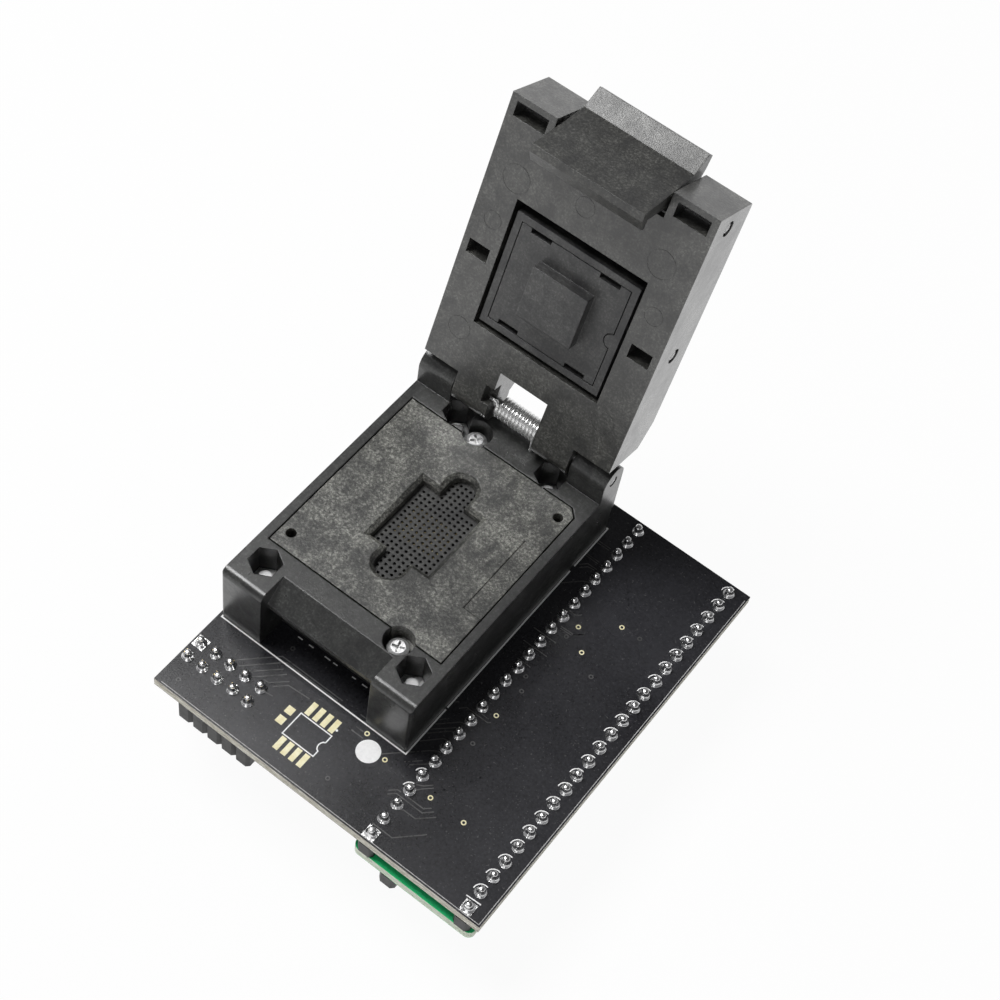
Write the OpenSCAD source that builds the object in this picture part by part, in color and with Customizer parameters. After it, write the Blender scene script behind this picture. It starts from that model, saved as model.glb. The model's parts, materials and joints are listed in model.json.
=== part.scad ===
// Clamshell test socket for a small ball-grid chip, on an adapter board that plugs
// into a zero-insertion-force programmer socket. Millimetres.
// X runs across the pin rows, Y along them towards the lid hinge, Z up.
// Origin: centre of the plug-in pin pattern, on the strips' lower face.
// Socket pieces are drawn about the socket's middle line, heights from the board's top;
// lid pieces are drawn closed, about the hinge axis, with distance u towards the front
// and height v above the axis, and then swung open.

/* [Adapter board] */
// From the base's left side to the black board's left edge
board_margin = 0.36; // [0:0.02:3]
// Length of the black board along the pin rows
board_l = 61.2; // [61:0.1:75]
// Thickness of both boards
board_t = 1.6; // [0.8:0.1:2.4]
// From the pin pattern's middle line to the board's right edge
board_right = 10.22; // [9:0.01:14]
// From the first pin to the board's front edge
board_lip = 1.2; // [1:0.1:2]
// Width of the green lower board
lower_board_w = 18.9; // [18:0.1:24]
// Corner radius of the green lower board
lower_board_r = 1; // [0.3:0.1:2]

/* [Pin rows] */
// Spacing of the pins along a row
pitch = 2.54; // [2.54]
// Pins in a full row
row_pins = 24; // [20:2:24]
// Distance between the rows soldered to the black board
upper_gap = 15.24; // [15.24]
// Distance between the rows that plug in
lower_gap = 7.62; // [7.62, 10.16]
// Height of a strip's plastic
strip_h = 2.5; // [2:0.1:3]
// Width of a strip's plastic
strip_w = 2.5; // [2.2:0.1:2.54]
// Corner cut between the positions of a strip
strip_cut = 0.45; // [0.2:0.05:0.7]
// Side of a square pin
pin_w = 0.64; // [0.5:0.02:0.64]
// Diameter of a round plug-in pin
plug_pin_d = 0.5; // [0.4:0.05:0.6]
// Length of a plug-in pin below its strip
plug_pin_l = 3; // [2.5:0.1:6]
// How far a pin stands out of its solder
pin_tail = 1.25; // [0.8:0.05:2]
// Radius of a solder cone at the board
solder_r = 0.86; // [0.6:0.02:1]
// Height of a solder cone
solder_h = 0.85; // [0.4:0.05:1.1]

/* [Cable header] */
// Positions along the cable header
header_cols = 5; // [3:1:6]
// From the board's left edge to the middle of the header
header_in = 6.21; // [6:0.01:9]
// Middle of the header, from the first pin towards the back
header_y = 5.23; // [4:0.01:9]
// Height of the socket body that takes the mating pins
header_h = 8.5; // [5:0.1:12]
// From the black board's underside to the mating face
header_drop = 14.4; // [10:0.1:18]
// Depth of the holes for the mating pins
header_hole = 5.5; // [3:0.1:8]

/* [Socket base] */
// From the left pin row to the base's side
row_gap = 3.6; // [3:0.1:6]
// From the first pin to the base's front face
base_front_in = 11.4; // [11:0.1:13]
// Width of the base
base_w = 30.9; // [29.5:0.1:34]
// Length of the base
base_l = 44.6; // [43:0.1:48]
// Height of the base over the board
base_h = 11.3; // [9.5:0.1:14]
// Radius of the rounded top edge at the front
base_round = 1.1; // [0.4:0.1:2]
// Radius of the upright edges
base_edge = 0.4; // [0.2:0.1:1]
// Radius of the hinge lugs
lug_r = 2.3; // [2:0.1:3]
// Width of a hinge lug
lug_w = 5.6; // [4:0.1:6.2]

/* [Latch recess] */
// Width of the recess that the latch drops into
recess_w = 17.8; // [14:0.1:19]
// Depth of the recess under its lip
recess_d = 4.5; // [4:0.1:4.8]
// How far the lip stands back from the front face
lip_in = 1.34; // [1:0.02:2]
// Thickness of the lip's nose
lip_nose = 0.8; // [0.5:0.1:1.2]
// Height of the ramp over the lip
ramp_h = 2.8; // [1.5:0.1:3.5]
// Length of the ramp over the lip
ramp_l = 3.1; // [2:0.1:3.3]

/* [Floating nest] */
// Width of the nest plate
nest_w = 27.9; // [26:0.1:28.2]
// Length of the nest plate
nest_l = 29.45; // [28:0.05:29.8]
// Thickness of the nest plate
nest_t = 3; // [2.6:0.1:4]
// Middle of the nest plate, back from the base's front face
nest_in = 22.38; // [22:0.02:22.6]
// Gap round the nest plate
nest_gap = 0.2; // [0.1:0.05:0.4]
// Travel of the nest plate
nest_travel = 0.4; // [0.2:0.05:0.6]
// Cut corner at the back right of the nest plate
nest_cut = 1.1; // [0.5:0.1:2]
// Width of the pocket for the chip
pocket_w = 9.6; // [9.2:0.1:11]
// Length of the pocket for the chip
pocket_l = 11.2; // [10:0.1:13]
// Depth of the pocket
pocket_d = 1.6; // [1.2:0.1:1.7]
// Bevel round the pocket and its slots
pocket_bevel = 0.6; // [0.1:0.1:0.8]
// Width of the finger slots at the pocket's ends
slot_w = 4; // [3:0.1:5]
// Length over both finger slots
slot_l = 19.1; // [16:0.1:20]
// Diameter of the locator holes
locator_d = 1.4; // [1:0.1:2]
// Locator holes, to each side of the middle
locator_x = 12.4; // [11:0.1:12.6]
// Locator holes, to the front and back of the middle
locator_y = 12.35; // [11:0.05:12.6]

/* [Probes] */
// Spacing of the probes
probe_pitch = 0.8; // [0.8]
// Diameter of a probe's plunger
plunger_d = 0.3; // [0.2:0.02:0.32]
// Diameter of a guide hole
guide_hole_d = 0.38; // [0.34:0.02:0.5]
// Thickness of the guide plate
guide_t = 1.3; // [1:0.1:1.3]
// Width of the probe block
block_w = 13; // [12:0.1:14]
// Length of the probe block
block_l = 21; // [20:0.1:22]
// Travel of the plungers
plunger_travel = 0.35; // [0.2:0.05:0.4]

/* [Fasteners and springs] */
// Across the flats of a nut
nut_af = 3.9; // [3.6:0.1:4]
// Thickness of a nut
nut_t = 1.6; // [1.2:0.1:2]
// Diameter of a base bolt
bolt_d = 2; // [1.6:0.1:2.2]
// Front bolts, to each side of the middle
bolt_front_x = 12.05; // [11.5:0.05:12.4]
// Back bolts, to each side of the middle
bolt_back_x = 7.75; // [7.4:0.05:7.8]
// Diameter of a nest screw's head
screw_head_d = 2.9; // [2.4:0.1:3.2]
// Diameter of a nest screw's shank
screw_d = 1.4; // [1.2:0.1:1.6]
// Diameter of the counterbore round a nest screw
counterbore_d = 4.2; // [3.8:0.1:4.4]
// Wire of the nest and latch springs
fine_wire_d = 0.3; // [0.2:0.05:0.4]
// Outer diameter of the nest and latch springs
fine_spring_d = 2; // [1.6:0.1:2.2]

/* [Lid] */
// How far the lid's sides stand in from the base's sides
lid_inset = 0.2; // [0:0.1:1]
// Inner face below the hinge axis
lid_in = 2.7; // [2.4:0.1:3.2]
// Outer face above the hinge axis
lid_out = 6.4; // [5.8:0.1:7]
// How far the lid reaches past the base's front face
lid_over = 1.2; // [0.8:0.1:1.6]
// Opening angle of the lid
lid_open = 107.5; // [95:0.5:115]
// Gap between the closed lid and the base
lid_clear = 0.3; // [0.2:0.05:0.5]
// Diameter of the hinge, pusher and latch pins
pivot_d = 1.6; // [1.2:0.1:1.8]
// Diameter of the wider mouth round a pin's end in the lid's side
mouth_d = 2.2; // [1.9:0.1:2.6]
// Clearance of a pin in the piece that turns on it
running = 0.06; // [0.03:0.01:0.1]
// Width of the window round the hinge spring
window_w = 7.65; // [7.2:0.05:8]
// Upper edge of the window, from the hinge axis
window_u = 6.7; // [5:0.1:8]

/* [Pusher] */
// Width of the pocket for the pusher
well_w = 19.9; // [19:0.1:20.5]
// Length of the pocket for the pusher
well_l = 19.8; // [19:0.1:20.2]
// Gap beside the pusher in its pocket
well_gap = 0.5; // [0.4:0.05:0.8]
// Gap at the pusher's hinge side
foot_gap = 0.7; // [0.5:0.05:1]
// Gap at the pusher's latch side
end_gap = 1.6; // [0.6:0.1:2]
// Width of the rim of the pusher's frame
rim = 1; // [0.5:0.05:1.4]
// Width of the raised block
ram_w = 8.4; // [6:0.1:8.8]
// Length of the raised block
ram_l = 7.8; // [6:0.1:8.4]
// Height of the raised block
ram_h = 1.8; // [1:0.1:2]

/* [Latch] */
// Width of the latch
latch_w = 16.4; // [12:0.1:17]
// Reach of the hook below the hinge axis
hook_drop = 8.4; // [7.8:0.1:9]
// Height of the hook's toe
toe_h = 1.5; // [1:0.1:1.8]
// Grip of the toe under the lip
toe_grip = 0.95; // [0.5:0.05:1.2]
// Clearance round the hook
hook_clear = 0.34; // [0.25:0.01:0.5]

/* [Hidden] */
$fn = 32;
cut = 0.1;                                  // overshoot of a cutting shape

// Heights
lower_z = strip_h;                          // green board's underside
upper_z = lower_z + board_t;                // upper strips' lower face
board_z = upper_z + strip_h;                // black board's underside
top_z = board_z + board_t;                  // black board's top

// Plan
first_y = -row_pins / 2 * pitch;            // first pin of a full row
board_front = first_y - board_lip;
socket_x = -upper_gap / 2 - row_gap - base_w / 2;
board_left = socket_x - base_w / 2 - board_margin;
board_w = board_right - board_left;
header_x = board_left + header_in;
base_front = first_y + base_front_in;
base_back = base_front + base_l;
nest_y = base_front + nest_in;
header_mid_y = first_y + header_y;

// Nest
nest_z = base_h - nest_t;                   // nest plate's underside at rest
recess_z = nest_z - nest_travel - 0.1;      // floor of the nest recess
floor_z = base_h - pocket_d;                // pocket's floor
guide_z = floor_z - guide_t;
guide_w = block_w + 0.8;
guide_l = block_l + 0.6;
block_h = recess_z - 0.1;
plunger_z = floor_z - 0.3;                  // tips of the probes at rest
plunger_in = 3;                             // length of a plunger inside the block
ledge_t = 0.5;                              // nest plate left under a screw head
head_z = nest_z + ledge_t + 0.05;           // underside of a nest screw's head
head_h = 0.95;
screw_front = [8, -nest_l / 2 - 0.95];
screw_back = [-3.85, nest_l / 2 + 1.35];
front_turn = 20;                            // how the crosses of the two screws stand
back_turn = 50;
spring_x = 10.6;
spring_y = 10.2;
spring_seat = 3.4;                          // depth of a nest spring's seat
label_w = 2.7;                              // bare recess beside the pocket
label_l = 13.2;
label_d = 0.15;

// Bolts
bolt_front_y = base_front + 4.6;
hex_r = (nut_af + 0.1) / sqrt(3);           // corner radius of a nut's pocket
bolt_back_y = nest_y + nest_l / 2 + hex_r;
bolts = [
    [-bolt_front_x, bolt_front_y], [bolt_front_x, bolt_front_y],
    [-bolt_back_x, bolt_back_y], [bolt_back_x, bolt_back_y]
];
nut_z = 4.8;                                // underside of a nut
bolt_head_d = 3.6;
bolt_head_h = 1.2;

// Hinge and lid
hinge_y = base_back - lug_r;
hinge_h = base_h + lid_clear + lid_in;      // over the board's top
lid_w = base_w - 2 * lid_inset;
mouth_in = 0.6;                             // depth of a mouth
pin_sink = 0.45;                            // how far a pin's ends stand in from the sides
pin_l = lid_w - 2 * pin_sink;
hinge_pin_sink = 0.25;
lid_end = hinge_y - base_front + lid_over;  // u of the lid's free end
lid_foot = lug_r + 0.6;                     // u of the lid's edge over the lugs
knuckle_w = base_w - 2 * lug_w - 0.6;
knuckle_r = lid_in;
leg_slot_w = 1.3;                           // slot beside the window for the spring's leg
leg_slot_in = 0.9;
leg_slot_out = 3.7;
leg_slot_d = 1.8;
ram_u = hinge_y - nest_y + 1.13;            // middle of the raised block
well_u = ram_u + 0.15;                      // middle of the pusher's pocket
well_v = 4.6;                               // roof of the pusher's pocket
pusher_u = well_u - 0.6;                    // pusher pin from the hinge axis
pusher_v = 2.2;
face_v = -lid_in + 0.3;                     // pusher's face
frame_v = 3.8;                              // pusher frame's back

// Latch
latch_u = lid_end - 2.4;
latch_v = 1.24;
notch_u = latch_u - 2.7;
notch_w = latch_w + 0.7;
web_u = notch_u + 1.7;                      // lid left under the latch's boss
web_t = 1;
lip_u = hinge_y - base_front - lip_in;      // u of the lip's nose
lip_z = base_h - ramp_h - lip_nose;         // underside of the lip
shank_u = lip_u + hook_clear;
toe_top = -hook_drop + toe_h;
latch_spring_x = 5;
latch_spring_v = 3.6;
latch_spring_in = 2.5;
latch_seat_u = latch_u - 1.1;               // where the springs bear on the latch
latch_boss_r = 2.2;

// ---- helpers ----

function pin_y(k) = first_y + k * pitch;

// Extrudes a (y, z) outline along X, centred.
module across(w) {
    translate([-w / 2, 0, 0]) rotate([90, 0, 90]) linear_extrude(height = w) children();
}

// A bar of diameter d along X, centred.
module bar_x(d, w) {
    rotate([0, 90, 0]) cylinder(d = d, h = w, center = true);
}

module rounded_plan(w, l, r) {
    square([w - 2 * r, l], center = true);
    square([w, l - 2 * r], center = true);
    for (x = [-1, 1], y = [-1, 1])
        translate([x * (w / 2 - r), y * (l / 2 - r)]) circle(r = r);
}

module centred_box(w, l, h) {
    translate([-w / 2, -l / 2, 0]) cube([w, l, h]);
}

// Puts a socket piece on the board.
module on_board() {
    translate([socket_x, 0, top_z]) children();
}

// Puts a lid piece, drawn closed about the hinge axis, on the open lid.
module on_lid() {
    translate([socket_x, hinge_y, top_z + hinge_h]) rotate([-lid_open, 0, 0]) children();
}

// Points of a helix, and a wire swept along points with a square-on ring at each.
function helix(r, rise, turns, steps) =
    [for (i = [0 : turns * steps]) let (a = 360 * i / steps)
        [r * cos(a), r * sin(a), rise * i / steps]];
function unit(v) = v / norm(v);
function heading(path, i) =
    unit(path[min(i + 1, len(path) - 1)] - path[max(i - 1, 0)]);
function side_of(t) =
    abs(t[2]) < 0.9 ? unit(cross([0, 0, 1], t)) : unit(cross([0, 1, 0], t));

module wire(path, d, sides = 6) {
    n = len(path);
    points = [for (i = [0 : n - 1]) let (t = heading(path, i), s = side_of(t), b = cross(t, s))
        for (k = [0 : sides - 1]) let (a = 360 * k / sides)
            path[i] + d / 2 * (cos(a) * s + sin(a) * b)];
    walls = [for (i = [0 : n - 2], k = [0 : sides - 1])
        let (m = (k + 1) % sides, a = i * sides, b = a + sides)
            each [[a + k, b + k, b + m], [a + k, b + m, a + m]]];
    ends = [[for (k = [0 : sides - 1]) k],
            [for (k = [sides - 1 : -1 : 0]) (n - 1) * sides + k]];
    polyhedron(points = points, faces = concat(walls, ends), convexity = 8);
}

// A compression spring standing on z = 0, of outer diameter d and height h.
module coil(d, wire_d, h, turns) {
    translate([0, 0, wire_d / 2])
        wire(helix((d - wire_d) / 2, (h - wire_d) / turns, turns, 12), wire_d, 5);
}

// ---- boards, strips and pins ----

module upper_pin_places(side) {
    for (k = [0 : row_pins - 1]) translate([side * upper_gap / 2, pin_y(k), 0]) children();
}

// The right-hand plug-in row starts one position later.
function first_plug(side) = side < 0 ? 0 : 1;

module lower_pin_places(side) {
    for (k = [first_plug(side) : row_pins - 1])
        translate([side * lower_gap / 2, pin_y(k), 0]) children();
}

module header_places() {
    for (i = [0 : header_cols - 1], j = [0, 1])
        translate([header_x + (i - (header_cols - 1) / 2) * pitch,
                   header_mid_y + (j - 0.5) * pitch, 0]) children();
}

module square_pin(z0, z1) {
    translate([0, 0, z0]) centred_box(pin_w, pin_w, z1 - z0);
}

module drilled(d, z0, h) {
    translate([0, 0, z0 - cut]) cylinder(d = d, h = h + 2 * cut, $fn = 24);
}

pin_hole_d = pin_w * sqrt(2) + 0.1;

module main_board() {
    color([0.07, 0.07, 0.08]) difference() {
        translate([board_left, board_front, board_z])
            cube([board_w, board_l, board_t]);
        for (side = [-1, 1]) upper_pin_places(side) drilled(pin_hole_d, board_z, board_t);
        header_places() drilled(pin_hole_d, board_z, board_t);
        for (b = bolts) translate([socket_x + b[0], b[1], 0])
            drilled(bolt_d + 0.2, board_z, board_t);
    }
}

module lower_board() {
    color([0.05, 0.45, 0.25]) difference() {
        translate([0, board_front + board_l / 2, lower_z])
            linear_extrude(height = board_t) rounded_plan(lower_board_w, board_l, lower_board_r);
        for (side = [-1, 1]) {
            upper_pin_places(side) drilled(pin_hole_d, lower_z, board_t);
            lower_pin_places(side) drilled(plug_pin_d + 0.1, lower_z, board_t);
        }
    }
}

// One position of a strip: a square with cut corners.
module strip_cell(w) {
    l = pitch / 2;
    polygon([
        [-w / 2, -l + strip_cut], [-w / 2 + strip_cut, -l], [w / 2 - strip_cut, -l],
        [w / 2, -l + strip_cut], [w / 2, l - strip_cut], [w / 2 - strip_cut, l],
        [-w / 2 + strip_cut, l], [-w / 2, l - strip_cut]
    ]);
}

module upper_strip(side) {
    color([0.06, 0.06, 0.06]) difference() {
        translate([0, 0, upper_z]) linear_extrude(height = strip_h)
            upper_pin_places(side) strip_cell(strip_w);
        upper_pin_places(side) translate([0, 0, upper_z - cut])
            centred_box(pin_w + 0.04, pin_w + 0.04, strip_h + 2 * cut);
    }
}

module lower_strip(side) {
    color([0.06, 0.06, 0.06]) difference() {
        linear_extrude(height = strip_h) lower_pin_places(side) strip_cell(strip_w);
        lower_pin_places(side) drilled(plug_pin_d + 0.04, 0, strip_h);
    }
}

module upper_strip_left() upper_strip(-1);
module upper_strip_right() upper_strip(1);
module lower_strip_left() lower_strip(-1);
module lower_strip_right() lower_strip(1);

module upper_pins(side) {
    color([0.8, 0.8, 0.78]) upper_pin_places(side)
        square_pin(lower_z - 0.6, top_z + pin_tail);
}

module upper_pins_left() upper_pins(-1);
module upper_pins_right() upper_pins(1);

module plug_pins(side) {
    color([0.85, 0.72, 0.4]) lower_pin_places(side) {
        translate([0, 0, -plug_pin_l + plug_pin_d / 2])
            cylinder(d = plug_pin_d, h = plug_pin_l + upper_z + 0.5 - plug_pin_d / 2, $fn = 16);
        translate([0, 0, -plug_pin_l])
            cylinder(d1 = plug_pin_d / 2, d2 = plug_pin_d, h = plug_pin_d / 2, $fn = 16);
    }
}

module plug_pins_left() plug_pins(-1);
module plug_pins_right() plug_pins(1);

module solder_cone() {
    difference() {
        translate([0, 0, top_z]) cylinder(r1 = solder_r, r2 = pin_w * 0.62, h = solder_h, $fn = 16);
        translate([0, 0, top_z - cut]) centred_box(pin_w, pin_w, solder_h + 2 * cut);
    }
}

module solder_joints() {
    color([0.8, 0.8, 0.8]) {
        for (side = [-1, 1]) upper_pin_places(side) solder_cone();
        header_places() solder_cone();
    }
}

// The cable header: a spacer strip under the board, a gap, and the tall socket body.
header_face = board_z - header_drop;

module header_body() {
    color([0.06, 0.06, 0.06]) difference() {
        union() {
            translate([0, 0, header_face]) linear_extrude(height = header_h)
                header_places() rotate(90) strip_cell(pitch + 0.02);
            translate([0, 0, board_z - strip_h]) linear_extrude(height = strip_h)
                header_places() rotate(90) strip_cell(pitch + 0.02);
            translate([header_x, header_mid_y, header_face + header_h - cut])
                centred_box((header_cols - 1) * pitch, pitch * 0.5,
                            header_drop - header_h - strip_h + 2 * cut);
        }
        header_places() {
            translate([0, 0, header_face - cut])
                centred_box(pin_w + 0.3, pin_w + 0.3, header_hole + cut);
            translate([0, 0, header_face + header_hole + 0.5])
                centred_box(pin_w + 0.04, pin_w + 0.04, header_drop);
        }
    }
}

module header_pins() {
    color([0.85, 0.72, 0.4]) header_places()
        square_pin(header_face + header_hole + 0.6, top_z + pin_tail);
}

// ---- socket base ----

module lug_outline() {
    translate([hinge_y, hinge_h]) circle(r = lug_r, $fn = 48);
    translate([hinge_y - lug_r, base_h / 2]) square([2 * lug_r, hinge_h - base_h / 2]);
}

// Side view of the body, with its rounded front edge.
module base_side() {
    translate([base_front, 0]) square([base_l, base_h - base_round]);
    translate([base_front + base_round, 0]) square([base_l - base_round, base_h]);
    translate([base_front + base_round, base_h - base_round]) circle(r = base_round);
}

// Side view of what the latch recess takes out: the drop, the undercut and the ramp.
module recess_side() {
    y0 = base_front;
    polygon([
        [y0 - 1, -cut], [y0 + recess_d, -cut], [y0 + recess_d, lip_z], [y0 + lip_in, lip_z],
        [y0 + lip_in, lip_z + lip_nose], [y0 + lip_in + ramp_l, base_h],
        [y0 + lip_in + ramp_l, base_h + 1], [y0 - 1, base_h + 1]
    ]);
}

module nest_outline(grow) {
    w = nest_w / 2 + grow;
    l = nest_l / 2 + grow;
    c = nest_cut + grow * (2 - sqrt(2));
    translate([0, nest_y])
        polygon([[-w, -l], [w, -l], [w, l - c], [w - c, l], [-w, l]]);
}

module nest_screw_places() {
    for (s = [screw_front, screw_back]) translate([s[0], nest_y + s[1], 0]) children();
}

module nest_spring_places() {
    for (x = [-1, 1], y = [-1, 1]) translate([x * spring_x, nest_y + y * spring_y, 0]) children();
}

module socket_base() {
    color([0.1, 0.1, 0.1]) on_board() difference() {
        union() {
            intersection() {
                across(base_w) base_side();
                translate([0, base_front + base_l / 2, -cut])
                    linear_extrude(height = base_h + 1) rounded_plan(base_w, base_l, base_edge);
            }
            for (side = [-1, 1]) translate([side * (base_w - lug_w) / 2, 0, 0])
                across(lug_w) lug_outline();
        }
        across(recess_w) recess_side();
        translate([0, 0, recess_z]) linear_extrude(height = nest_t + 2) nest_outline(nest_gap);
        translate([0, nest_y, -cut]) centred_box(block_w + 0.2, block_l + 0.2, base_h);
        nest_screw_places() {
            translate([0, 0, recess_z]) cylinder(d = counterbore_d, h = nest_t + 2);
            translate([0, 0, 2]) cylinder(d = screw_d + 0.04, h = base_h);
        }
        nest_spring_places() translate([0, 0, recess_z - spring_seat])
            cylinder(d = fine_spring_d + 0.4, h = spring_seat + cut);
        for (b = bolts) translate([b[0], b[1], 0]) {
            translate([0, 0, nut_z]) rotate(30) cylinder(r = hex_r, h = base_h, $fn = 6);
            translate([0, 0, -cut]) cylinder(d = bolt_d + 0.2, h = nut_z + 1);
        }
        translate([0, hinge_y, hinge_h]) bar_x(pivot_d + 0.04, base_w + 1);
    }
}

// ---- bolts, nuts and nest screws ----

module base_nut(i) {
    color([0.8, 0.8, 0.8]) on_board() translate([bolts[i][0], bolts[i][1], nut_z])
        difference() {
            rotate(30) cylinder(d = nut_af * 2 / sqrt(3), h = nut_t, $fn = 6);
            translate([0, 0, -cut]) cylinder(d = bolt_d + 0.04, h = nut_t + 2 * cut);
        }
}

module base_bolt(i) {
    color([0.7, 0.7, 0.7]) on_board() translate([bolts[i][0], bolts[i][1], 0]) {
        translate([0, 0, -board_t - cut]) cylinder(d = bolt_d, h = board_t + nut_z + nut_t + 0.4);
        translate([0, 0, -board_t - bolt_head_h]) difference() {
            cylinder(d1 = bolt_head_d - 0.8, d2 = bolt_head_d, h = bolt_head_h);
            translate([0, 0, -cut]) for (a = [0, 90]) rotate(a) centred_box(1.9, 0.4, 0.6);
        }
    }
}

module base_nut_1() base_nut(0);
module base_nut_2() base_nut(1);
module base_nut_3() base_nut(2);
module base_nut_4() base_nut(3);
module base_bolt_1() base_bolt(0);
module base_bolt_2() base_bolt(1);
module base_bolt_3() base_bolt(2);
module base_bolt_4() base_bolt(3);

// A nest screw with a crowned head and a cross recess.
module nest_screw(place, turn) {
    crown = 0.35;
    color([0.8, 0.8, 0.8]) on_board() translate([place[0], nest_y + place[1], 0])
        difference() {
            union() {
                translate([0, 0, head_z]) cylinder(d = screw_head_d, h = head_h - crown);
                translate([0, 0, head_z + head_h - crown])
                    cylinder(d1 = screw_head_d, d2 = screw_head_d - 1, h = crown);
                translate([0, 0, 2.3]) cylinder(d = screw_d, h = head_z - 2.2);
            }
            translate([0, 0, head_z + head_h - 0.6]) rotate(turn)
                for (a = [0, 90]) rotate(a) centred_box(1.7, 0.36, 1);
        }
}

module nest_screw_front() nest_screw(screw_front, front_turn);
module nest_screw_back() nest_screw(screw_back, back_turn);

// ---- nest, guide and probes ----

// Outline of the chip pocket: a rectangle crossed by a long slot with round ends.
module pocket_outline() {
    square([pocket_w, pocket_l], center = true);
    square([slot_w, slot_l - slot_w], center = true);
    for (y = [-1, 1]) translate([0, y * (slot_l - slot_w) / 2]) circle(d = slot_w);
}

// What the bevel takes out of the plate's top, drawn from the top face down.
module pocket_bevel_cut() {
    c = pocket_bevel;
    module flare(w) {
        polygon([[-w / 2, -c], [w / 2, -c], [w / 2 + c + cut, cut], [-w / 2 - c - cut, cut]]);
    }
    intersection() {
        across(pocket_w + 4 * c) flare(pocket_l);
        rotate(90) across(pocket_l + 4 * c) flare(pocket_w);
    }
    rotate(90) across(slot_l - slot_w) flare(slot_w);
    for (y = [-1, 1]) translate([0, y * (slot_l - slot_w) / 2, -c])
        cylinder(r1 = slot_w / 2, r2 = slot_w / 2 + c + cut, h = c + cut);
}

module nest_plate() {
    color([0.12, 0.12, 0.12]) on_board() difference() {
        translate([0, 0, nest_z]) linear_extrude(height = nest_t) nest_outline(0);
        translate([0, nest_y, nest_z - cut]) linear_extrude(height = nest_t + 1) pocket_outline();
        translate([0, nest_y, base_h]) pocket_bevel_cut();
        translate([0, nest_y, nest_z - cut])
            centred_box(guide_w, guide_l, floor_z - nest_z + cut);
        nest_screw_places() translate([0, 0, nest_z + ledge_t])
            cylinder(d = counterbore_d, h = nest_t);
        nest_screw_places() translate([0, 0, nest_z - cut])
            cylinder(d = screw_d + 0.6, h = nest_t);
        for (s = [-1, 1]) translate([s * locator_x, nest_y + s * locator_y, nest_z - cut])
            cylinder(d = locator_d, h = nest_t + 1);
        translate([(nest_w - label_w) / 2, nest_y, base_h - label_d])
            centred_box(label_w + cut, label_l, 1);
    }
}

// Probe places: the grid under the chip, then the rows under the finger slots.
grid_x = 5;
grid_y = 6;
arm_x = 2;
arm_y = 11;

module guide_places() {
    for (i = [-grid_x : grid_x], j = [-arm_y : arm_y])
        if (abs(j) <= grid_y || abs(i) <= arm_x)
            translate([i * probe_pitch, nest_y + j * probe_pitch, 0]) children();
}

// The probes that are fitted, nine by seven.
probe_x = 4;
probe_y = 3;

module probe_places() {
    for (i = [-probe_x : probe_x], j = [-probe_y : probe_y])
        translate([i * probe_pitch, nest_y + j * probe_pitch, 0]) children();
}

module probe_guide() {
    color([0.15, 0.15, 0.15]) on_board() difference() {
        translate([0, nest_y, guide_z]) centred_box(guide_w - 0.1, guide_l - 0.1, guide_t);
        guide_places() drilled(guide_hole_d, guide_z, guide_t);
    }
}

module probe_block() {
    color([0.3, 0.25, 0.15]) on_board() difference() {
        translate([0, nest_y, 0]) centred_box(block_w, block_l, block_h);
        probe_places() translate([0, 0, block_h - plunger_in - plunger_travel - 0.1])
            cylinder(d = plunger_d + 0.1, h = block_h, $fn = 16);
    }
}

module probe_plungers() {
    color([0.9, 0.85, 0.6]) on_board() probe_places()
        translate([0, 0, block_h - plunger_in])
            cylinder(d = plunger_d, h = plunger_z - block_h + plunger_in, $fn = 16);
}

module nest_spring(i) {
    x = i % 2 == 0 ? -1 : 1;
    y = i < 2 ? -1 : 1;
    color([0.75, 0.75, 0.75]) on_board()
        translate([x * spring_x, nest_y + y * spring_y, recess_z - spring_seat])
            coil(fine_spring_d, fine_wire_d, nest_z - recess_z + spring_seat, 5);
}

module nest_spring_1() nest_spring(0);
module nest_spring_2() nest_spring(1);
module nest_spring_3() nest_spring(2);
module nest_spring_4() nest_spring(3);

// ---- hinge ----

module hinge_pin() {
    color([0.8, 0.8, 0.8]) translate([socket_x, hinge_y, top_z + hinge_h])
        bar_x(pivot_d, base_w - 2 * hinge_pin_sink);
}

hinge_wire = 0.5;
hinge_turns = 11;
hinge_rise = 0.6;
hinge_steps = 14;
hinge_coil_x = -3.35;                       // left end of the coil
hinge_leg = 2.7;                            // reach of the leg that bears on the base

// The coil lies along the pin. Its left leg runs up into the lid's slot, and its right
// leg runs straight down to the base when the lid is open.
module hinge_spring() {
    r = pivot_d / 2 + hinge_wire;
    turn = hinge_turns * 360 + lid_open - 90;
    n = hinge_turns * hinge_steps;
    coil_path = [for (i = [0 : n]) let (a = 270 + turn * i / n)
        [hinge_rise * hinge_turns * i / n, r * cos(a), r * sin(a)]];
    leg_up = [[-0.95, -3.2, -r], [-0.2, -1.2, -r]];
    leg_down = [coil_path[n] + hinge_leg * [0, sin(lid_open), -cos(lid_open)]];
    color([0.8, 0.8, 0.8]) on_lid() translate([hinge_coil_x, 0, 0])
        wire(concat(leg_up, coil_path, leg_down), hinge_wire);
}

// ---- lid ----

// Turns a list of [u, v] into a (y, z) outline.
module lid_outline(points) {
    polygon([for (p = points) [-p[0], p[1]]]);
}

module lid_side() {
    lid_outline([
        [lid_foot, -lid_in], [lid_end + 0.4, -lid_in], [lid_end - 0.6, lid_out - 0.3],
        [lid_end - 0.9, lid_out], [lid_foot + 4.1, lid_out], [lid_foot + 0.3, lid_out - 1.7]
    ]);
}

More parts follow.
